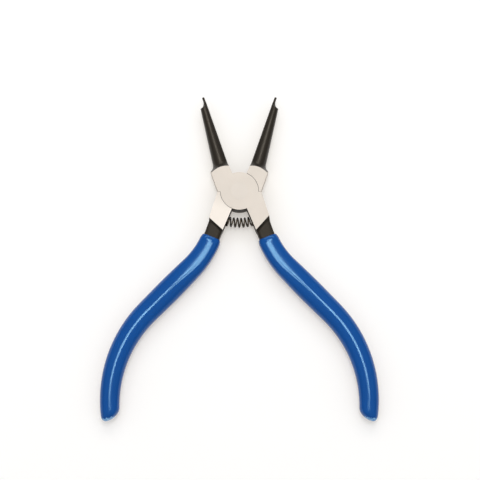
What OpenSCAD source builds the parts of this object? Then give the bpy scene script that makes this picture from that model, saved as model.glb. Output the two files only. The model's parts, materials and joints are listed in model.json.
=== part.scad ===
// Circlip pliers with straight tips for internal rings, drawn open at rest.
// Millimetres. The origin is on the pivot axis, on the lower ground face of the head.
// The jaws point along +Y, the handles along -Y, and +Z is the pivot axis.

/* [Head] */
// Thickness of the head between its two ground faces
head_t = 8.6; // [7.8:0.1:9.4]
// Diameter of the half discs that lap over each other at the pivot
lap_d = 14.8; // [14:0.1:16]
// Gap between the two lapped faces
lap_gap = 0.06; // [0.04:0.01:0.12]
// Clearance around the rim of each half disc
lap_clearance = 0.15; // [0.1:0.01:0.25]
// How far the shoulders stand out past the lap disc, on each side
shoulder_w = 0.5; // [0.4:0.05:0.8]
// Length of the ground face below the lap disc, on the outer side
neck_l = 5.5; // [5.4:0.1:7]
// How much further down the ground face runs on the inner side
neck_slant = 3.6; // [3:0.1:4.2]
// How much further down the face at the back of a lever runs on its outer side
back_drop = 0.8; // [0.6:0.1:1.6]
// How much narrower the neck is than the shoulders
neck_draw = 0.3; // [0.1:0.05:0.5]
// Radius of the hollow where the ground face steps down to the shank
step_r = 3; // [2.6:0.1:4]

/* [Travel] */
// Angle that each lever swings from closed to fully open
open_half = 19.8; // [17:0.1:22]
// Slope of the stop face under each shoulder
stop_angle = 18; // [15:0.5:21]
// Gap that is left between the stop faces when fully open
stop_gap = 0.1; // [0.08:0.01:0.2]

/* [Rivet] */
// Diameter of the rivet through the lap joint
rivet_d = 5; // [4:0.1:6]
// Depth and width of the headed lip at both ends of the rivet
rivet_lip = 0.9; // [0.6:0.05:1.2]
// Radial gap of the rivet in the front lever, which it is fixed to
rivet_fit = 0.02; // [0.01:0.01:0.04]
// Radial gap of the rivet in the rear lever, which turns on it
rivet_running = 0.04; // [0.03:0.01:0.08]

/* [Jaws] */
// Distance from the pivot to the ends of the tips
jaw_reach = 40.4; // [34:0.1:44]
// Height of the jaw root above the lap disc
jaw_root = 4; // [3.6:0.1:5]
// Diameter of the jaw cone at its root
jaw_base_d = 6.2; // [5.2:0.1:6.6]
// Diameter of the jaw cone at its top
jaw_end_d = 3.1; // [2.6:0.1:3.4]
// Depth of the flat that is ground along the inner side of the jaw root
jaw_flat = 0.35; // [0.2:0.05:0.6]
// Gap between the closed jaws at their roots
jaw_gap_root = 1; // [0.9:0.1:1.6]
// Gap between the closed jaws at their tips
jaw_gap_tip = 0.3; // [0.2:0.05:0.5]
// Angle of the flare that joins the jaw cone to the flat head
flare_angle = 56; // [50:1:62]
// Radius of the fillet between the jaw cone and the flare
flare_fillet = 2.7; // [2:0.1:3.4]

/* [Tips] */
// Diameter of the tip pins that enter the ring's holes
pin_d = 0.9; // [0.8:0.05:1.3]
// Length of the tip pins
pin_l = 1.5; // [1.3:0.1:2.2]
// Radius of the hollow between a tip pin and its jaw
pin_fillet = 2.6; // [1.8:0.1:2.8]
// Chamfer on the end of a tip pin
pin_chamfer = 0.1; // [0.05:0.05:0.2]
// How far a tip pin sits back from the flat inner side of its jaw
pin_inset = 0.03; // [0.02:0.01:0.1]

/* [Handles] */
// Gap between the two shanks when closed
handle_gap = 1.9; // [1.8:0.1:2.6]
// Width of the shank below the head
shank_w = 6.3; // [5.9:0.1:6.7]
// Thickness of the shank below the head
shank_t = 6.4; // [6:0.1:6.6]
// Straight length of the shank below the ground face
shank_tail = 2.7; // [2:0.1:3.2]
// Radius of the bend that leads the handle outwards
bend_r = 36; // [32:0.5:42]
// Angle of the bend that leads the handle outwards
bend_angle = 25; // [20:0.5:27]
// Straight length between the two bends
handle_straight = 24; // [20:0.5:28]
// Radius of the long bend that leads the handle back inwards
return_r = 49; // [46:0.5:56]
// Angle of the long bend that leads the handle back inwards
return_angle = 53; // [45:0.5:55]

/* [Grips] */
// Wall of the dipped sleeve at its mouth
mouth_wall = 0.9; // [0.7:0.05:0.95]
// How much the sleeve thins out at the very mouth
mouth_lip = 0.25; // [0.1:0.05:0.3]
// Length over which the sleeve thins out at the mouth
lip_l = 2.5; // [1.5:0.1:3.5]
// Length of the flat-sided stretch below the mouth
flat_l = 9; // [5:0.5:12]
// Wall of the dipped sleeve along the handle
grip_wall = 0.9; // [0.7:0.05:1.2]
// Gap between the sleeve and the tang inside it
grip_fit = 0.04; // [0.03:0.01:0.08]
// Distance of the sleeve's mouth below the ground face
grip_drop = 3.9; // [3:0.1:5]
// Width of the grip at its widest place
grip_belly_w = 9.5; // [8.6:0.1:9.8]
// Width of the grip at its lower end
grip_end_w = 7.3; // [6.4:0.1:7.6]
// Thickness of the grip at its lower end
grip_end_t = 7.2; // [6.6:0.1:7.6]
// Length of the rounded end of the grip
grip_cap = 3.2; // [2.6:0.1:4]
// Slant of the rounded end, longer on the outer side
end_slant = 21; // [10:1:28]
// Distance from the end of the tang to the end of the grip
tang_short = 6; // [5:0.5:12]

/* [Spring] */
// Outer diameter of the return spring
spring_d = 4; // [3.6:0.1:4.4]
// Diameter of the spring wire
wire_d = 0.62; // [0.5:0.02:0.7]
// Number of turns of the spring
spring_turns = 12; // [10:1:14]
// Distance of the spring pockets below the pivot
spring_drop = 12.3; // [12:0.1:13]
// Depth of the spring pockets in the shanks
pocket_depth = 4; // [3.4:0.1:4.4]
// Radial gap between the spring and its pockets
pocket_gap = 0.3; // [0.25:0.05:0.4]

/* [Hidden] */

ground_steel = "#ece5dc";
black_steel = "#2d2924";
blue_vinyl = "#0c4e9b";
$fn = 96;
// Length by which cutting tools run past what they cut
past = 1;

// Head outline, in the closed position, for the lever with its jaw at -X
half_t = head_t / 2;
lap_r = lap_d / 2;
side_x = lap_r + shoulder_w;
stop_gap_angle = 2 * asin(stop_gap / 2 / side_x);
lower_angle = 2 * open_half - stop_angle + stop_gap_angle;
root_y = lap_r + jaw_root;
shank_x = handle_gap / 2;
neck_out_y = -(lap_r + neck_l);
neck_in_y = neck_out_y - neck_slant;
// Depth by which the head is rooted inside the shank
sink = 0.4;
neck_end_y = neck_in_y - sink;
root_end_y = neck_in_y - 8 * sink;

// Jaw cone along its own axis, from the root upwards
base_r = jaw_base_d / 2;
end_r = jaw_end_d / 2;
top_y = jaw_reach - pin_l - pin_fillet;
base_x = -(jaw_gap_root / 2 + base_r - jaw_flat);
top_x = -(jaw_gap_at(top_y) / 2 + end_r - jaw_flat * end_r / base_r);
jaw_lean = atan2(top_x - base_x, top_y - root_y);
jaw_l = norm([top_x - base_x, top_y - root_y]);
cone_slope = (base_r - end_r) / jaw_l;
flare_slope = tan(flare_angle);
// Radius of the tools' parts that leave the rest of the head uncut
clear_r = 4 * lap_d;

// Tip pins
pin_r = pin_d / 2;
pin_root_y = jaw_reach - pin_l;
pin_x = -(jaw_gap_at(pin_root_y) / 2 + pin_inset + pin_r);

// Handle path: straight shank, outward bend, straight, long bend back
path_x = shank_x + sink / 8 + shank_w / 2;
path_y = neck_out_y + 2 * sink;
shank_l = path_y - neck_in_y + shank_tail;
bend_l = bend_r * bend_angle * PI / 180;
return_l = return_r * return_angle * PI / 180;
path_l = shank_l + bend_l + handle_straight + return_l;
bend_end = [path_x + bend_r * (1 - cos(bend_angle)), path_y - shank_l - bend_r * sin(bend_angle)];
straight_end = bend_end + handle_straight * [sin(bend_angle), -cos(bend_angle)];

// Grip stations along the handle path
mouth_s = path_y - (neck_in_y - grip_drop);
belly_s = shank_l + bend_l + handle_straight / 2;
cap_s = path_l - grip_cap;
tang_end_s = path_l - tang_short;
slant_l = 12;
mouth_w = shank_w + 2 * (mouth_wall + grip_fit);
mouth_t = shank_t + 2 * (mouth_wall + grip_fit);
// Section exponents: of the bare shank, of the sleeve at its mouth and of both at the belly
shank_square = 5;
mouth_square = 3.2;
belly_square = 2.15;
sides = 24;

// Spring axis: an arc through the mouths and floors of both pockets, in the open position
coil_r = (spring_d - wire_d) / 2;
pocket_d = spring_d + 2 * pocket_gap;
pocket_x = shank_x * spring_drop / -neck_end_y;
pocket_mouth = turned([pocket_x, -spring_drop], open_half);
pocket_floor = turned([pocket_x + pocket_depth, -spring_drop], open_half);
arc_y = (pocket_floor * pocket_floor - pocket_mouth * pocket_mouth)
    / (2 * (pocket_floor.y - pocket_mouth.y));
arc_r = norm(pocket_floor - [0, arc_y]);
arc_half = asin(pocket_floor.x / arc_r);
// Distance that the end turns, which lean against the pocket floors, stay off them
seat_gap = 0.05 + spring_d / 2 * abs(sin(arc_half - open_half));
spring_l = 2 * (arc_r * arc_half * PI / 180 - wire_d / 2 - seat_gap);
// Pitch of the closed turn at each end of the spring, and the share of the length that it takes
closed_share = 1.1 * wire_d / spring_l;
coil_steps = 12;
coil_sides = 8;

function jaw_gap_at(y) = jaw_gap_root
    + (jaw_gap_tip - jaw_gap_root) * (y - root_y) / (jaw_reach - root_y);

function turned(p, angle) = [p.x * cos(angle) - p.y * sin(angle), p.x * sin(angle) + p.y * cos(angle)];

function mixed(a, b, t) = a + (b - a) * t;

function eased(t) = let (u = min(1, max(0, t))) u * u * (3 - 2 * u);

// Power that keeps the sign, for superellipse sections
function signed_pow(v, p) = sign(v) * pow(abs(v), p);

// Direction of the handle at a distance s along its path, in degrees from -Y
function heading(s) =
    s < shank_l ? 0 :
    s < shank_l + bend_l ? (s - shank_l) / bend_r * 180 / PI :
    s < path_l - return_l ? bend_angle :
    bend_angle - (s - path_l + return_l) / return_r * 180 / PI;

// Point on the handle path at a distance s along it
function path_point(s) =
    let (h = heading(s))
    s < shank_l ? [path_x, path_y - s] :
    s < shank_l + bend_l ? [path_x + bend_r * (1 - cos(h)), path_y - shank_l - bend_r * sin(h)] :
    s < path_l - return_l ? bend_end + (s - shank_l - bend_l) * [sin(h), -cos(h)] :
    straight_end + return_r * [cos(h) - cos(bend_angle), sin(h) - sin(bend_angle)];

// Grip sizes along the path: swelling from the mouth to the belly, then thinning to the end
function to_belly(s) = eased((s - mouth_s) / (belly_s - mouth_s));
function to_end(s) = pow(min(1, max(0, (s - belly_s) / (path_l - belly_s))), 1.25);
function along(s, mouth, belly, end) = mixed(mixed(mouth, belly, to_belly(s)), end, to_end(s));
function grip_w(s) = along(s, mouth_w, grip_belly_w, grip_end_w);
function grip_t(s) = along(s, mouth_t, head_t, grip_end_t);
function wall_at(s) = along(s, mouth_wall, grip_wall, grip_wall);
function lip_at(s) = mouth_lip * pow(1 - min(1, max(0, (s - mouth_s) / lip_l)), 2);
// Exponent of the section: flat-sided at the shank and the mouth, almost an ellipse from the belly on
function rounding(s) = eased((s - mouth_s - flat_l) / (belly_s - mouth_s - flat_l));
function squareness(s) = mixed(shank_square, belly_square, rounding(s));
function skin_squareness(s) = mixed(mouth_square, belly_square, rounding(s));
function slant_at(s) = tan(end_slant) * eased((s - path_l + slant_l) / slant_l);

// Superellipse ring of half sizes a and b, across the path at s and slanted with the end
function ring(s, a, b, n) =
    let (h = heading(s), p = path_point(s), lead = slant_at(s))
    [for (k = [0 : sides - 1])
        let (
            x = a * signed_pow(cos(360 * k / sides), 2 / n),
            z = b * signed_pow(sin(360 * k / sides), 2 / n)
        )
        [p.x + x * (cos(h) + lead * sin(h)), p.y + x * (sin(h) - lead * cos(h)), z]];

// Ring of the sleeve at a depth of 0 on its skin to 1 on its inside
function grip_ring(s, depth, share = 1) =
    let (inset = mixed(lip_at(s), wall_at(s), depth), n = mixed(skin_squareness(s), squareness(s), depth))
    ring(s, (grip_w(s) / 2 - inset) * share, (grip_t(s) / 2 - inset) * share, n);

function tang_ring(s) =
    let (inset = wall_at(s) + grip_fit)
    ring(s, grip_w(s) / 2 - inset, grip_t(s) / 2 - inset, squareness(s));

// Stations that the tang and the inside of its sleeve share
inner_steps = 26;
inner_stations = [for (i = [0 : inner_steps]) mixed(mouth_s, tang_end_s, i / inner_steps)];

// Rings from the floor of the sleeve up its inside, round the rim and down the outside to the end
rim_steps = 4;
rim_r = (mouth_wall - mouth_lip) / 2;
lip_steps = 4;
outer_steps = 32;
cap_steps = 7;
function grip_rings() = concat(
    [for (i = [0 : inner_steps - 1])
        let (s = inner_stations[inner_steps - i])
        grip_ring(s + (i == 0 ? 2 * grip_fit : 0), 1)],
    [for (i = [0 : rim_steps])
        let (turn = 180 * i / rim_steps)
        grip_ring(mouth_s + rim_r * (1 - sin(turn)), (1 + cos(turn)) / 2)],
    [for (i = [1 : lip_steps]) grip_ring(mouth_s + mixed(rim_r, lip_l, i / lip_steps), 0)],
    [for (i = [1 : outer_steps]) grip_ring(mixed(mouth_s + lip_l, cap_s, i / outer_steps), 0)],
    [for (i = [1 : cap_steps])
        let (u = sin(88 * i / cap_steps))
        grip_ring(cap_s + grip_cap * u, 0, pow(1 - pow(u, 2.4), 1 / 2.4))]
);

// Solid through a row of rings that all have the same number of points
module skin(rings) {
    n = len(rings[0]);
    m = len(rings);
    polyhedron(
        points = [for (r = rings) each r],
        faces = concat(
            [[for (k = [0 : n - 1]) k]],
            [for (i = [0 : m - 2], k = [0 : n - 1])
                let (a = i * n + k, b = i * n + (k + 1) % n)
                each [[a, a + n, b + n], [a, b + n, b]]],
            [[for (k = [n - 1 : -1 : 0]) (m - 1) * n + k]]
        )
    );
}

// Points of an arc, both ends included
function arc(centre, r, from, to, steps) =
    [for (i = [0 : steps])
        let (a = mixed(from, to, i / steps))
        centre + r * [cos(a), sin(a)]];

// Half of the head above the pivot: shoulder and jaw blank
module upper_outline() {
    blank_y = jaw_reach + past;
    polygon([
        [0, 0],
        [-jaw_gap_root / 4, lap_r],
        [-jaw_gap_root / 2, root_y],
        [-jaw_gap_at(blank_y) / 2, blank_y],
        [-side_x, blank_y],
        [-side_x, side_x * tan(stop_angle)]
    ]);
}

// Half of the head below the pivot: neck, rooted in the shank
module lower_outline() {
    polygon([
        [0, 0],
        [side_x, -side_x * tan(lower_angle)],
        [side_x - neck_draw, neck_out_y - sink / 2],
        [shank_x + shank_w - sink, neck_in_y],
        [shank_x + shank_w - 2 * sink, root_end_y],
        [shank_x + sink, root_end_y],
        [shank_x, neck_end_y]
    ]);
}

// Front half carries the lap disc, back half is cleared for the other lever's disc
module head_blank() {
    translate([0, 0, lap_gap / 2]) linear_extrude(half_t - lap_gap / 2) {
        circle(lap_r);
        upper_outline();
        lower_outline();
    }
    translate([0, 0, -half_t]) linear_extrude(half_t + lap_gap / 2) difference() {
        union() {
            upper_outline();
            lower_outline();
        }
        circle(lap_r + lap_clearance);
    }
}

// Turned envelope of the jaw: cone, fillet and flare, wide open below
module jaw_envelope() {
    corner_h = (half_t - base_r) / (flare_slope - cone_slope);
    corner = [base_r - cone_slope * corner_h, corner_h];
    cone_normal = [1, cone_slope] / norm([1, cone_slope]);
    flare_normal = [1, flare_slope] / norm([1, flare_slope]);
    centre = corner + flare_fillet * (cone_normal + flare_normal) / (1 + cone_normal * flare_normal);
    top_h = jaw_l + pin_l + pin_fillet + past;
    translate([base_x, root_y, 0]) rotate([-90, 0, -jaw_lean]) rotate_extrude() polygon(concat(
        [[0, -clear_r], [clear_r, -clear_r], [clear_r, (half_t - clear_r) / flare_slope]],
        arc(centre, flare_fillet, 180 + flare_angle, 180 + atan(cone_slope), 8),
        [[base_r - cone_slope * top_h, top_h], [0, top_h]]
    ));
}

// Turned envelope of the tip: pin and the hollow below it, wide open below
module tip_envelope() {
    translate([pin_x, pin_root_y, 0]) rotate([-90, 0, 0]) rotate_extrude() polygon(concat(
        [[0, -clear_r], [clear_r, -clear_r], [clear_r, -pin_fillet]],
        arc([pin_r + pin_fillet, 0], pin_fillet, 270, 180, 8),
        [[pin_r, pin_l - pin_chamfer], [pin_r - pin_chamfer, pin_l], [0, pin_l]]
    ));
}

// Tool that steps one ground face down to the shank, with a hollow along the slanted edge
module step_tool(drop) {
    floor_z = shank_t / 2 - 1.5 * sink;
    edge_out = [side_x - neck_draw, neck_out_y - drop];
    edge_in = [shank_x, neck_in_y];
    edge_angle = atan2(edge_out.y - edge_in.y, edge_out.x - edge_in.x);
    run = sqrt(pow(step_r, 2) - pow(floor_z + step_r - half_t, 2));
    translate([edge_in.x, edge_in.y, 0]) rotate([90, 0, edge_angle + 90])
        translate([-run, floor_z, -clear_r]) linear_extrude(2 * clear_r) {
            translate([0, step_r]) circle(step_r);
            translate([-clear_r, 0]) square([clear_r, 2 * step_r]);
        }
}

// Bore for the rivet with the countersink for its lip at the front
module rivet_bore(gap) {
    r = rivet_d / 2 + gap;
    rotate_extrude() polygon([
        [0, -past],
        [r, -past],
        [r, half_t - rivet_lip],
        [r + rivet_lip, half_t],
        [r + rivet_lip, half_t + past],
        [0, half_t + past]
    ]);
}

// One forged lever in the closed position, jaw at -X and tang at +X
module lever(gap) {
    difference() {
        union() {
            difference() {
                intersection() {
                    head_blank();
                    jaw_envelope();
                    tip_envelope();
                }
                step_tool(0);
                mirror([0, 0, 1]) step_tool(back_drop);
            }
            shank_stations = [for (i = [0 : 5]) mixed(0, mouth_s, i / 6)];
            skin([for (s = concat(shank_stations, inner_stations)) tang_ring(s)]);
        }
        rivet_bore(gap);
        translate([pocket_x - past, -spring_drop, 0]) rotate([0, 90, 0])
            cylinder(h = pocket_depth + past, d = pocket_d);
    }
}

// Places of the two levers in the open position
module on_front_lever() {
    translate([0, 0, half_t]) rotate(open_half) children();
}

module on_rear_lever() {
    translate([0, 0, half_t]) rotate(-open_half) rotate([0, 180, 0]) children();
}

module front_lever() {
    color(ground_steel) on_front_lever() lever(rivet_fit);
}

module rear_lever() {
    color(ground_steel) on_rear_lever() lever(rivet_running);
}

module pivot_rivet() {
    r = rivet_d / 2;
    color(ground_steel) on_front_lever() rotate_extrude() polygon([
        [0, -half_t],
        [r + rivet_lip, -half_t],
        [r, rivet_lip - half_t],
        [r, half_t - rivet_lip],
        [r + rivet_lip, half_t],
        [0, half_t]
    ]);
}

// Share of the spring's length reached after a share t of its turns, with a closed turn at each end
function coil_share(t) =
    let (turn = t * spring_turns, open_turns = spring_turns - 2)
    turn < 1 ? closed_share * turn :
    turn > spring_turns - 1 ? 1 - closed_share * (spring_turns - turn) :
    closed_share + (1 - 2 * closed_share) * (turn - 1) / open_turns;

module return_spring() {
    steps = spring_turns * coil_steps;
    color(black_steel) translate([0, 0, half_t]) skin([for (i = [0 : steps])
        let (
            turn = 360 * i / coil_steps,
            swing = (coil_share(i / steps) - 0.5) * spring_l / arc_r * 180 / PI,
            across = [sin(swing), -cos(swing), 0],
            forward = [cos(swing), sin(swing), 0],
            outward = cos(turn) * across + [0, 0, sin(turn)],
            centre = [0, arc_y, 0] + arc_r * across + coil_r * outward
        )
        [for (k = [0 : coil_sides - 1])
            let (a = 360 * k / coil_sides)
            centre + wire_d / 2 * (cos(a) * outward + sin(a) * forward)]]);
}

module right_grip() {
    color(blue_vinyl) on_front_lever() skin(grip_rings());
}

module left_grip() {
    color(blue_vinyl) on_rear_lever() skin(grip_rings());
}

front_lever();
rear_lever();
pivot_rivet();
return_spring();
right_grip();
left_grip();
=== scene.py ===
import json

import bmesh
import bpy
import numpy as np
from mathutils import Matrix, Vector


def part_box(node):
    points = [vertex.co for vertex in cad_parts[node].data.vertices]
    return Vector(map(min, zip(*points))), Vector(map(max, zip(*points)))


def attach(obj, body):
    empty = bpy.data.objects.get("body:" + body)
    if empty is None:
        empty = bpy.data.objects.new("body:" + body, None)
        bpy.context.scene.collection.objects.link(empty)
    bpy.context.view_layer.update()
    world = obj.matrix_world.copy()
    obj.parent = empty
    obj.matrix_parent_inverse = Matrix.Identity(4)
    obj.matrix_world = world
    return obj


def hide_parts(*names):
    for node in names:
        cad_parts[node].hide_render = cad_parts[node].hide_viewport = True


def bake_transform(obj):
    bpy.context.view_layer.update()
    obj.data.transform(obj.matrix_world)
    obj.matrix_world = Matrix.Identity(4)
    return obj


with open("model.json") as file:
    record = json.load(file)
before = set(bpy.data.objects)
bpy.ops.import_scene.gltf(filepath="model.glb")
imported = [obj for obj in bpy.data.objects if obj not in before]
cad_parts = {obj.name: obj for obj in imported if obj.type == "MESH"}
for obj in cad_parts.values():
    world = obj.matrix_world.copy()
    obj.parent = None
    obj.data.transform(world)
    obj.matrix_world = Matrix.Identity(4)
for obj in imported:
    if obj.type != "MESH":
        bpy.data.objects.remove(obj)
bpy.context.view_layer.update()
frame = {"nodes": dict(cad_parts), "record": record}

# Levers
# Two equal steel forgings, one turned over on the other, lapped at the pivot and drawn out into round jaws
# with ground tips. They are blackened all over, then both faces of the head are ground bright on a belt.

MM = 0.001
HEAD_T = float(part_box("pivot_rivet")[1][2])
MID_Z = HEAD_T / 2
HEAD_SIDE = 7.9 * MM
OPEN_HALF = np.radians(frame["record"]["behaviour"]["joints"][0]["range_deg"][1]) / 2
EDGE_BREAK = 0.12 * MM
WELD = 0.001 * MM
FLAT_ANGLE, SHARP_ANGLE = np.radians(0.5), np.radians(28)
GROUND_DEPTH = 0.1 * MM
FLANK_SHINE = 0.8
JAW_START, JAW_FULL = 7 * MM, 11 * MM
NECK_START, NECK_FULL = 1 * MM, 10 * MM
SKIN_RELIEF, STEEL_BUMP, BELT_RELIEF = 0.03 * MM, 0.35, 0.15
BELT_WAVES, CLOUD_WAVES, FORGED_WAVES, PATCH_WAVES = (5200, 140, 5200), 110, 900, 160
BRIGHT_ROUGH, OXIDE_ROUGH, JAW_ROUGH = 0.75, 0.58, 0.34


def colour(red, green, blue):
    """An 8-bit display colour as the linear colour that shaders take."""
    share = np.array([red, green, blue]) / 255
    linear = np.where(share <= 0.04045, share / 12.92, ((share + 0.055) / 1.055) ** 2.4)
    return (*linear.tolist(), 1.0)


OXIDE_LOW, OXIDE_HIGH = colour(12, 8, 5), colour(21, 16, 11)
# The neck colour is a painted highlight: a lighter copy of the ground steel, for where light falls.
BRIGHT_LOW, BRIGHT_HIGH, PAINTED_NECK_LIGHT = colour(218, 212, 205), colour(230, 224, 217), colour(239, 234, 228)


class Wire:
    """An output of a material's node tree. Arithmetic on wires and numbers adds Math nodes to that tree."""

    def __init__(self, tree, socket=None):
        self.tree, self.socket = tree, socket

    def node(self, kind, settings=None, sockets=None, output=0):
        """Add a node: settings first, then a value or a link for each socket; return one of its outputs."""
        made = self.tree.nodes.new("ShaderNode" + kind)
        for name, value in (settings or {}).items():
            setattr(made, name, value)
        for name, value in (sockets or {}).items():
            if isinstance(value, Wire):
                self.tree.links.new(value.socket, made.inputs[name])
            else:
                made.inputs[name].default_value = value
        return Wire(self.tree, made.outputs[output] if made.outputs else None)

    def math(self, operation, *values):
        """One Math node on wires and numbers."""
        return self.node("Math", {"operation": operation}, dict(enumerate(values)))

    def __add__(self, other):
        return self.math("ADD", self, other)

    def __sub__(self, other):
        return self.math("SUBTRACT", self, other)

    def __rsub__(self, other):
        return self.math("SUBTRACT", other, self)

    def __mul__(self, other):
        return self.math("MULTIPLY", self, other)

    def __abs__(self):
        return self.math("ABSOLUTE", self)

    __radd__ = __add__
    __rmul__ = __mul__


def new_material(name):
    """An empty material, and the wire that its nodes start from."""
    material = bpy.data.materials.new(name)
    material.use_nodes = True
    material.node_tree.nodes.clear()
    return material, Wire(material.node_tree)


def axes(place):
    """The x, y and z of a place."""
    split = place.node("SeparateXYZ", {}, {0: place}).socket.node
    return [Wire(place.tree, out) for out in split.outputs]


def rise(value, low, high):
    """A smooth step from 0 at low to 1 at high."""
    return value.node("MapRange", {"interpolation_type": "SMOOTHSTEP"},
                      {"Value": value, "From Min": low, "From Max": high})


def grain(place, waves, detail=2.0):
    """Noise from 0 to 1 with this many waves a metre, on all axes alike or on each."""
    scaled = place.node("VectorMath", {"operation": "MULTIPLY"},
                        {0: place, 1: np.broadcast_to(waves, 3).tolist()})
    return place.node("TexNoise", {}, {"Vector": scaled, "Scale": 1.0, "Detail": detail})


def blend_colours(factor, first, second):
    """The first colour where the factor is 0, the second where it is 1, and their mix between."""
    return factor.node("Mix", {"data_type": "RGBA"}, {0: factor, 6: first, 7: second}, output=2)


def relief(height, strength):
    """A bumped normal, raised by the skin's relief where the height is 1."""
    return height.node("Bump", {}, {"Strength": strength, "Distance": SKIN_RELIEF, "Height": height})


def finish_with(start, **sockets):
    """End a material in a Principled shader with these sockets."""
    shader = start.node("BsdfPrincipled", {},
                        {name.replace("_", " "): value for name, value in sockets.items()})
    start.node("OutputMaterial", {}, {"Surface": shader})


def belt_ground(place):
    """Bright steel off a belt: the relief of its lines, a colour from seven parts cloud and three parts
    lines, and a roughness that follows the lines a little."""
    lines = grain(place, BELT_WAVES, 3.0)
    bright = blend_colours(grain(place, CLOUD_WAVES) * 0.7 + lines * 0.3, BRIGHT_LOW, BRIGHT_HIGH)
    return lines * BELT_RELIEF, bright, BRIGHT_ROUGH + (lines - 0.5) * 0.08


def lever_steel(name, from_lever, height_shift, painted_neck_light_share):
    """Black oxide all over, and bright belt-ground steel in the head's two faces and its outer flank. On the
    lever that asks for it, the ground face of the neck is painted lighter, as a painted highlight. The
    pattern lies on the forging, so it reads the place from before the lever was turned and lifted."""
    material, start = new_material(name)
    place = start.node("Mapping", {}, {"Vector": start.node("TexCoord", output="Object"),
                                       "Rotation": from_lever, "Location": (0, 0, height_shift)})
    across, along, height = axes(place)
    faces = rise(abs(height), MID_Z - GROUND_DEPTH, MID_Z - 0.3 * GROUND_DEPTH)
    flank = rise(-1 * across, HEAD_SIDE - 2 * EDGE_BREAK, HEAD_SIDE - EDGE_BREAK)
    ground = faces.math("MAXIMUM", faces, flank * FLANK_SHINE)
    jaw = rise(along, JAW_START, JAW_FULL)
    # Painted highlight: the neck's ground face is painted lighter where light falls, on one lever only.
    painted_neck_light_mask = rise(-1 * along, NECK_START, NECK_FULL) * painted_neck_light_share

    belt_relief, bright, bright_rough = belt_ground(place)
    forged = grain(place, FORGED_WAVES, 4.0)
    oxide = blend_colours(grain(place, PATCH_WAVES, 3.0), OXIDE_LOW, OXIDE_HIGH)
    black_rough = OXIDE_ROUGH + jaw * (JAW_ROUGH - OXIDE_ROUGH) + (forged - 0.5) * 0.1
    black_relief = forged * (1 - 0.6 * jaw)
    finish_with(
        start,
        Base_Color=blend_colours(ground, oxide, blend_colours(painted_neck_light_mask, bright, PAINTED_NECK_LIGHT)),
        Metallic=ground,
        Roughness=black_rough + ground * (bright_rough - black_rough),
        Specular_IOR_Level=0.45,
        Specular_Tint=(1.0, 0.9, 0.76, 1.0),
        Normal=relief(ground * belt_relief + (1 - ground) * black_relief, STEEL_BUMP),
    )
    return material


def put(name, data):
    """A new object with this data, in the scene."""
    made = bpy.data.objects.new(name, data)
    bpy.context.scene.collection.objects.link(made)
    return made


def broken_edges(node, name, material):
    """A welded copy of a node with its flat stretches merged and a small Bevel along its sharp edges."""
    mesh = frame["nodes"][node].data.copy()
    shape = bmesh.new()
    shape.from_mesh(mesh)
    bmesh.ops.remove_doubles(shape, verts=shape.verts, dist=WELD)
    bmesh.ops.dissolve_limit(shape, angle_limit=FLAT_ANGLE, verts=shape.verts, edges=shape.edges)
    shape.to_mesh(mesh)
    shape.free()
    mesh.shade_smooth()
    mesh.materials.clear()
    mesh.materials.append(material)
    piece = put(name, mesh)
    bevel = piece.modifiers.new("broken_edges", "BEVEL")
    bevel.width = EDGE_BREAK
    bevel.segments = 2
    bevel.limit_method = "ANGLE"
    bevel.angle_limit = SHARP_ANGLE
    level = piece.modifiers.new("flat_faces", "WEIGHTED_NORMAL")
    level.mode = "FACE_AREA"
    level.weight = 100
    return piece


# The last number paints the neck highlight on the rear lever only.
front_steel = lever_steel("front_lever_steel", (0, 0, -OPEN_HALF), -MID_Z, 0.0)
rear_steel = lever_steel("rear_lever_steel", (0, np.pi, -OPEN_HALF), MID_Z, 1.0)
for node, steel in (("front_lever", front_steel), ("rear_lever", rear_steel)):
    lever = broken_edges(node, node + "_forging", steel)
    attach(lever, node)
    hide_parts(node)

# Pivot rivet
# A steel pin through the lap joint, headed cold into a countersink at both ends.
# Its ends are ground off flush with the faces of the head, so only a hairline ring is left to see.

RIVET_R = 2.5 * MM
RIVET_LIP = 0.9 * MM
RIVET_BREAK, RIVET_EASE = 0.03 * MM, 0.1 * MM


def surface(name, rings, material):
    """A closed skin through rings of points, (ring, point, xyz), with a pole amid each end ring."""
    count, around = rings.shape[:2]
    points = np.concatenate([rings.reshape(-1, 3), rings[:1].mean(axis=1), rings[-1:].mean(axis=1)])
    ring, point = np.meshgrid(np.arange(count - 1), np.arange(around), indexing="ij")
    beside = (point + 1) % around
    quads = np.stack([ring * around + point, ring * around + beside,
                      (ring + 1) * around + beside, (ring + 1) * around + point], axis=-1).reshape(-1, 4)
    turn = np.arange(around)
    after = (turn + 1) % around
    first = np.stack([after, turn, np.full(around, count * around)], axis=-1)
    last = np.stack([turn, after, np.full(around, count * around + 1)], axis=-1)
    last[:, :2] += (count - 1) * around
    mesh = bpy.data.meshes.new(name)
    mesh.from_pydata(points.tolist(), [], quads.tolist() + first.tolist() + last.tolist())
    mesh.shade_smooth()
    mesh.materials.append(material)
    return put(name, mesh)


def rivet_rings(around=96):
    """A profile of radius and height, from the lower face to the upper one, turned about the pivot axis."""
    lip_r = RIVET_R + RIVET_LIP
    half = np.array([[lip_r * 0.5, 0],
                     [lip_r - 2 * RIVET_BREAK, 0],
                     [lip_r - RIVET_BREAK, 0],
                     [lip_r - 0.3 * RIVET_BREAK, 0.3 * RIVET_BREAK],
                     [lip_r - RIVET_BREAK, RIVET_BREAK],
                     [RIVET_R + RIVET_EASE, RIVET_LIP - RIVET_EASE],
                     [RIVET_R, RIVET_LIP],
                     [RIVET_R, RIVET_LIP + RIVET_EASE]])
    profile = np.concatenate([half, np.stack([half[::-1, 0], HEAD_T - half[::-1, 1]], axis=-1)])
    turn = np.linspace(0, 2 * np.pi, around, endpoint=False)
    radius, height = profile[:, :1], profile[:, 1:]
    return np.stack([radius * np.cos(turn), radius * np.sin(turn),
                     np.broadcast_to(height, (len(profile), around))], axis=-1)


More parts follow.
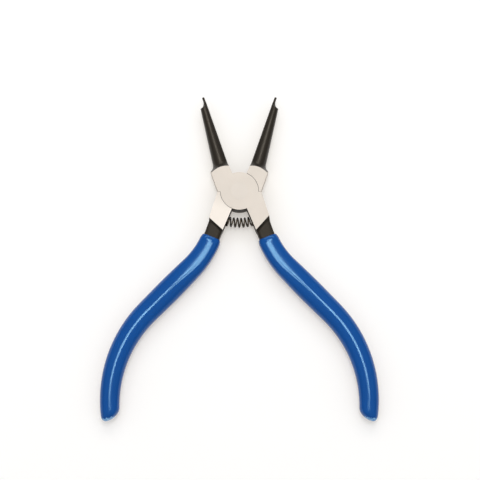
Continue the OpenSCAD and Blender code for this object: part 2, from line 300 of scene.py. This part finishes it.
def rivet_steel(name):
    """Bright steel with the same belt lines as the faces around it."""
    material, start = new_material(name)
    belt_relief, bright, bright_rough = belt_ground(start.node("TexCoord", output="Object"))
    finish_with(
        start,
        Base_Color=bright,
        Metallic=1.0,
        Roughness=bright_rough,
        Normal=relief(belt_relief, STEEL_BUMP),
    )
    return material


rivet = surface("flush_rivet", rivet_rings(), rivet_steel("rivet_steel"))
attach(rivet, "front_lever")
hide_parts("pivot_rivet")

# Return spring
# A coil of black spring wire between the shanks, which opens the tool. Its ends sit in blind pockets drilled
# in the shanks' inner faces, so at rest it bows into an arc, with one closed turn against each pocket floor.

SPRING_D = 4 * MM
WIRE_D = 0.62 * MM
SPRING_TURNS = 12
SPRING_DROP = 12.3 * MM
SPRING_SEAT = 0.05 * MM
CLOSED_PITCH = 1.1 * WIRE_D
POCKET_DEPTH = 4 * MM
POCKET_X = 0.691 * MM
BLEND_REACH = 1.4
WIRE_BLACK = colour(46, 39, 32)
# Lighter colours of the painted glint on the crowns of the turns.
WIRE_GLINT_LOW, WIRE_GLINT_HIGH = colour(92, 84, 73), colour(122, 112, 99)


def turned(points, angle):
    """Points turned about the pivot axis."""
    c, s = np.cos(angle), np.sin(angle)
    x, y = points[..., 0], points[..., 1]
    return np.concatenate([np.stack([x * c - y * s, x * s + y * c], axis=-1), points[..., 2:]], axis=-1)


def spring_arc():
    """The arc through the mouths and floors of both pockets: its centre's y, its radius and half angle."""
    mouth = turned(np.array([POCKET_X, -SPRING_DROP]), OPEN_HALF)
    floor = turned(np.array([POCKET_X + POCKET_DEPTH, -SPRING_DROP]), OPEN_HALF)
    centre = (floor @ floor - mouth @ mouth) / (2 * (floor[1] - mouth[1]))
    radius = np.hypot(floor[0], floor[1] - centre)
    return centre, radius, np.arcsin(floor[0] / radius)


def spring_rings(steps_a_turn=40, around=14):
    """A helix of even pitch between two closed end turns, wound on the arc, with a round wire along it."""
    centre, radius, half_angle = spring_arc()
    seat = SPRING_SEAT + SPRING_D / 2 * abs(np.sin(half_angle - OPEN_HALF)) + WIRE_D / 2
    length = 2 * (radius * half_angle - seat)
    closed = CLOSED_PITCH / length
    turn = np.linspace(0, SPRING_TURNS, SPRING_TURNS * steps_a_turn + 1)
    share = np.interp(turn, [0, 1, SPRING_TURNS - 1, SPRING_TURNS], [0, closed, 1 - closed, 1])
    swing = (share - 0.5) * length / radius
    nought = np.zeros_like(swing)
    across = np.stack([np.sin(swing), -np.cos(swing), nought], axis=-1)
    forward = np.stack([np.cos(swing), np.sin(swing), nought], axis=-1)
    winding = 2 * np.pi * turn[:, None]
    outward = np.cos(winding) * across + np.sin(winding) * np.array([0, 0, 1])
    middle = np.array([0, centre, MID_Z]) + radius * across + (SPRING_D - WIRE_D) / 2 * outward
    side = np.linspace(0, 2 * np.pi, around, endpoint=False)[None, :, None]
    return middle[:, None] + WIRE_D / 2 * (np.cos(side) * outward[:, None] + np.sin(side) * forward[:, None])


def spring_wire(name):
    """Drawn wire, blued black, with a painted glint: its turns are painted lighter on their crowns,
    above and below the axis.
    """
    material, start = new_material(name)
    place = start.node("TexCoord", output="Object")
    wear_and_glint_grain = grain(place, 700, 3.0)
    # Painted glint: the crowns of the turns, which face the lamps above, are painted lighter.
    painted_glint_crown = rise(abs(axes(place)[2] - MID_Z), 0.3 * SPRING_D / 2, 0.9 * SPRING_D / 2)
    finish_with(
        start,
        Base_Color=blend_colours(painted_glint_crown, WIRE_BLACK, blend_colours(wear_and_glint_grain, WIRE_GLINT_LOW, WIRE_GLINT_HIGH)),
        Metallic=1.0,
        Roughness=0.32 + (wear_and_glint_grain - 0.5) * 0.2,
    )
    return material


spring = surface("return_coil", spring_rings(), spring_wire("spring_steel"))
arc_centre, arc_r, arc_half = spring_arc()
spring_reach = BLEND_REACH * arc_r * np.sin(arc_half)
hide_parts("return_spring")
-spring_reach
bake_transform(spring)

# Grips
# Sleeves of blue vinyl, made by dipping the warm handles: drawn thin at the lip of the mouth, flat-sided over
# the shank and round further down. The slanted end has a painted glint: a pale, crinkled patch of colour.

SHANK_W, SHANK_T = 6.3 * MM, 6.4 * MM
PATH_X, PATH_Y = 4.15 * MM, -12.1 * MM
SHANK_L = 7.1 * MM
BEND_R, BEND_ANGLE = 36 * MM, np.radians(25)
STRAIGHT_L = 24 * MM
RETURN_R, RETURN_ANGLE = 49 * MM, np.radians(53)
BEND_L, RETURN_L = BEND_R * BEND_ANGLE, RETURN_R * RETURN_ANGLE
PATH_L = SHANK_L + BEND_L + STRAIGHT_L + RETURN_L
GRIP_WALL, GRIP_FIT = 0.9 * MM, 0.04 * MM
MOUTH_S = 8.3 * MM
MOUTH_LIP, LIP_L = 0.4 * MM, 2.1 * MM
FLAT_S = MOUTH_S + 9 * MM
BELLY_S = SHANK_L + BEND_L + STRAIGHT_L / 2
CAP_L, CAP_TURN, CAP_POWER = 3.2 * MM, np.radians(89), 2.4
TANG_SHORT = 6 * MM
SLANT, SLANT_L = np.tan(np.radians(21)), 12 * MM
MOUTH_W, MOUTH_T = SHANK_W + 2 * (GRIP_WALL + GRIP_FIT), SHANK_T + 2 * (GRIP_WALL + GRIP_FIT)
BELLY_W, BELLY_T = 9.5 * MM, HEAD_T
END_W, END_T = 7.3 * MM, 7.2 * MM
END_TAPER = 1.25
MOUTH_POWER, BORE_POWER, BELLY_POWER = 3.2, 5.0, 2.15
INNER_RINGS, RIM_RINGS, OUTER_RINGS, CAP_RINGS = 60, 10, 239, 23
# A painted glint on each sleeve's end: a ball of pale, crinkled skin, painted where light glints.
CRINKLED_GLINT_X, CRINKLED_GLINT_Y, CRINKLED_GLINT_R = 50.2 * MM, -88.4 * MM, 3.05 * MM
CRINKLED_GLINT_RAGGED, CRINKLED_GLINT_EDGE, CRINKLE_RELIEF = 0.9, 0.3, 3
VINYL_BUMP, PIMPLE_RELIEF = 0.5, 0.05
SAG_WAVES, PIMPLE_WAVES, TINT_WAVES, CRINKLE_WAVES = 140, 1100, 60, 1300
BLUE_LOW, BLUE_HIGH = colour(0, 66, 141), colour(0, 73, 151)
# Pale colours of the painted glint on the sleeves' ends.
GRIP_GLINT_LOW, GRIP_GLINT_HIGH = colour(56, 122, 194), colour(140, 188, 231)


def eased(share):
    """A smooth step from 0 to 1."""
    held = np.clip(share, 0, 1)
    return held * held * (3 - 2 * held)


def handle_path(s):
    """The point and heading at distance s: a straight shank, an arc out, a straight and an arc back in."""
    out = np.clip(s - SHANK_L, 0, BEND_L) / BEND_R
    straight = np.clip(s - SHANK_L - BEND_L, 0, STRAIGHT_L)
    heading = BEND_ANGLE - np.clip(s - PATH_L + RETURN_L, 0, None) / RETURN_R
    x = (PATH_X + BEND_R * (1 - np.cos(out)) + straight * np.sin(BEND_ANGLE)
         + RETURN_R * (np.cos(heading) - np.cos(BEND_ANGLE)))
    y = (PATH_Y - np.minimum(s, SHANK_L) - BEND_R * np.sin(out) - straight * np.cos(BEND_ANGLE)
         + RETURN_R * (np.sin(heading) - np.sin(BEND_ANGLE)))
    return x, y, out + heading - BEND_ANGLE


def along_grip(s, mouth, belly, end):
    """A size that eases from the mouth to the belly and then falls off towards the end."""
    swollen = mouth + (belly - mouth) * eased((s - MOUTH_S) / (BELLY_S - MOUTH_S))
    return swollen + (end - swollen) * np.clip((s - BELLY_S) / (PATH_L - BELLY_S), 0, 1) ** END_TAPER


def grip_rings(around=96):
    """Superellipse sections, squarer at the mouth, carried along the handle: up the inside from the sleeve's
    floor, round the rim and down the outside to the cap, whose rings lean with the slanted end."""
    rim_r = (GRIP_WALL - MOUTH_LIP) / 2
    rim_turn = np.linspace(0, np.pi, RIM_RINGS + 1)[1:]
    cap_u = np.sin(np.linspace(0, CAP_TURN, CAP_RINGS + 1)[1:])
    s = np.concatenate([np.linspace(PATH_L - TANG_SHORT, MOUTH_S + rim_r, INNER_RINGS),
                        MOUTH_S + rim_r * (1 - np.sin(rim_turn)),
                        np.linspace(MOUTH_S + rim_r, PATH_L - CAP_L, OUTER_RINGS + 1)[1:],
                        PATH_L - CAP_L + CAP_L * cap_u])
    depth = np.concatenate([np.ones(INNER_RINGS), (1 + np.cos(rim_turn)) / 2,
                            np.zeros(OUTER_RINGS + CAP_RINGS)])
    share = np.concatenate([np.ones(len(s) - CAP_RINGS), (1 - cap_u ** CAP_POWER) ** (1 / CAP_POWER)])
    lip = MOUTH_LIP * (1 - np.clip((s - MOUTH_S) / LIP_L, 0, 1)) ** 2
    inset = lip + depth * (GRIP_WALL - lip)
    half_w = (along_grip(s, MOUTH_W, BELLY_W, END_W) / 2 - inset) * share
    half_t = (along_grip(s, MOUTH_T, BELLY_T, END_T) / 2 - inset) * share
    square = MOUTH_POWER + depth * (BORE_POWER - MOUTH_POWER)
    power = 2 / (square + (BELLY_POWER - square) * eased((s - FLAT_S) / (BELLY_S - FLAT_S)))[:, None]
    turn = np.linspace(0, 2 * np.pi, around, endpoint=False)
    c, d = np.cos(turn), np.sin(turn)
    across = half_w[:, None] * np.sign(c) * np.abs(c) ** power
    height = half_t[:, None] * np.sign(d) * np.abs(d) ** power
    x, y, heading = (value[:, None] for value in handle_path(s))
    lead = (SLANT * eased((s - PATH_L + SLANT_L) / SLANT_L))[:, None]
    return np.stack([x + across * (np.cos(heading) + lead * np.sin(heading)),
                     y + across * (np.sin(heading) - lead * np.cos(heading)), height], axis=-1)


def grip_vinyl(name):
    """Glossy vinyl with the slow unevenness and fine pimples of a dipped skin. The painted glint is a ragged
    ball around the sleeve's end, in which the skin is painted paler, standing in for light, and crinkled."""
    material, start = new_material(name)
    place = start.node("TexCoord", output="Object")
    sag = grain(place, SAG_WAVES, 1.0)
    pimples = grain(place, PIMPLE_WAVES)
    crinkles = grain(place, CRINKLE_WAVES, 1.0)
    across, along, height = axes(place)
    off_x, off_y, off_z = abs(across) - CRINKLED_GLINT_X, along - CRINKLED_GLINT_Y, height - MID_Z
    inside = 1 - (off_x * off_x + off_y * off_y + off_z * off_z) * CRINKLED_GLINT_R ** -2
    # Painted glint: paler colour in a ragged ball at the end, with crinkles bumped into it.
    crinkled_glint_patch = rise(inside + (crinkles - 0.5) * CRINKLED_GLINT_RAGGED, 0, CRINKLED_GLINT_EDGE)
    blue = blend_colours(grain(place, TINT_WAVES), BLUE_LOW, BLUE_HIGH)
    pale = blend_colours(rise(crinkles, 0.3, 0.7), GRIP_GLINT_LOW, GRIP_GLINT_HIGH)
    finish_with(
        start,
        Base_Color=blend_colours(crinkled_glint_patch, blue, pale),
        Roughness=0.1 + (pimples - 0.5) * 0.04,
        Specular_IOR_Level=0.5,
        Specular_Tint=(0.4, 0.75, 0.94, 1.0),
        Normal=relief(sag + pimples * PIMPLE_RELIEF + crinkles * crinkled_glint_patch * CRINKLE_RELIEF, VINYL_BUMP),
    )
    return material


vinyl = grip_vinyl("grip_vinyl")
over = np.array([-1, 1, -1])
lift = np.array([0, 0, MID_Z])
right_grip = surface("right_sleeve", turned(grip_rings(), OPEN_HALF) + lift, vinyl)
left_grip = surface("left_sleeve", turned(grip_rings() * over, -OPEN_HALF) + lift, vinyl)
for grip, node, body in ((right_grip, "right_grip", "front_lever"), (left_grip, "left_grip", "rear_lever")):
    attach(grip, body)
    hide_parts(node)

# Studio
# A white table in a pale room that is darker near the floor. Two gridded strips hang over the handles, a
# softbox over the head and a bank of lamps over the jaws, with one lamp far behind for table and rims.

TABLE_HALF, TABLE_STEPS = 6.0, 8
TABLE_GAP = 0.02 * MM
TABLE_GREY, TABLE_WHITE = (0.85, 0.85, 0.85, 1), (1, 1, 1, 1)
TABLE_GLOW, GLOW_OPEN, GLOW_SHADED = 0.38, (1, 0.99, 0.98, 1), (1, 0.935, 0.85, 1)
SHADE_REACH, SHADE_FULL = 40 * MM, 0.35
ROOM_LOW, ROOM_HIGH = (0.39, 0.385, 0.375, 1), (0.73, 0.72, 0.705, 1)
LAMP_Z = 0.9
STRIP_X, STRIP_AIM_X, STRIP_Y, STRIP_GRID = 0.115, 0.355, 0.018, np.radians(60)
SOFTBOX_Y, BANK_Y = 0.17, 0.28
VIEW_X, VIEW_Y, VIEW_FAR, VIEW_TILT = 0.23 * MM, -19.3 * MM, 0.8, np.radians(8)
VIEW_FIELD = 480 * 0.387 * MM


def white_table(name):
    """A matt table, with a share of glow to the camera and in what it sees reflected, so that it looks white.
    The glow turns warmer near the object, where less of the sky is open."""
    material, start = new_material(name)
    straight, mirrored, through = (start.node("LightPath", output=kind) for kind in
                                   ("Is Camera Ray", "Is Glossy Ray", "Is Transmission Ray"))
    seen = straight.math("MAXIMUM", straight, mirrored.math("MAXIMUM", mirrored, through))
    matt = start.node("BsdfDiffuse", {}, {"Color": blend_colours(seen, TABLE_GREY, TABLE_WHITE)})
    open_sky = start.node("AmbientOcclusion", {"samples": 8}, {"Distance": SHADE_REACH}, output="AO")
    shaded = rise(1 - open_sky, 0, SHADE_FULL)
    glow = start.node("Emission", {}, {"Color": blend_colours(shaded, GLOW_OPEN, GLOW_SHADED)})
    shader = start.node("MixShader", {}, {0: seen * TABLE_GLOW, 1: matt, 2: glow})
    start.node("OutputMaterial", {}, {"Surface": shader})
    return material


row = TABLE_STEPS + 1
table_x, table_y = np.meshgrid(*[np.linspace(-TABLE_HALF, TABLE_HALF, row)] * 2)
table_points = np.stack([table_x, table_y, np.full_like(table_x, -TABLE_GAP)], axis=-1).reshape(-1, 3)
corner = (np.arange(TABLE_STEPS)[:, None] * row + np.arange(TABLE_STEPS)).reshape(-1, 1)
table_mesh = bpy.data.meshes.new("table")
table_mesh.from_pydata(table_points.tolist(), [], (corner + np.array([0, 1, row + 1, row])).tolist())
table_mesh.materials.append(white_table("table_white"))
put("table", table_mesh)

world = bpy.data.worlds.new("room")
bpy.context.scene.world = world
world.use_nodes = True
world.node_tree.nodes.clear()
room = Wire(world.node_tree)
upward = axes(room.node("TexCoord", output="Generated"))[2]
walls = room.node("Background", {}, {"Color": blend_colours(rise(upward, 0, 1), ROOM_LOW, ROOM_HIGH)})
room.node("OutputWorld", {}, {"Surface": walls})


def hang(name, place, aim, size, light, spread=np.pi):
    """An area lamp of a size (across, along) at a place, facing a point, with its radiance and spread."""
    data = bpy.data.lights.new(name, "AREA")
    data.shape = "RECTANGLE"
    data.size, data.size_y = size
    data.energy = light * np.pi * size[0] * size[1]
    data.spread = spread
    lamp = put(name, data)
    lamp.location = place
    lamp.rotation_euler = (Vector(aim) - Vector(place)).to_track_quat("-Z", "Y").to_euler()


for name, side in (("left_strip", -1), ("right_strip", 1)):
    hang(name, (side * STRIP_X, STRIP_Y, LAMP_Z), (side * STRIP_AIM_X, STRIP_Y, 0),
         (0.13, 0.183), 3.0, STRIP_GRID)
hang("softbox", (0, SOFTBOX_Y, LAMP_Z), (0, SOFTBOX_Y, 0), (0.08, 0.22), 12.2)
hang("bank", (0, BANK_Y, LAMP_Z), (0, BANK_Y, 0), (0.24, 0.18), 5.8)
hang("back", (0, 0.75, 0.8), (0, 0, 0), (0.9, 0.3), 3.0)

camera_data = bpy.data.cameras.new("camera")
camera_data.lens = camera_data.sensor_width * VIEW_FAR / VIEW_FIELD
camera = put("camera", camera_data)
camera.location = (VIEW_X, VIEW_Y - VIEW_FAR * np.sin(VIEW_TILT), HEAD_T + VIEW_FAR * np.cos(VIEW_TILT))
camera.rotation_euler = (VIEW_TILT, 0, 0)
bpy.context.scene.camera = camera
bpy.context.scene.view_settings.view_transform = "Standard"
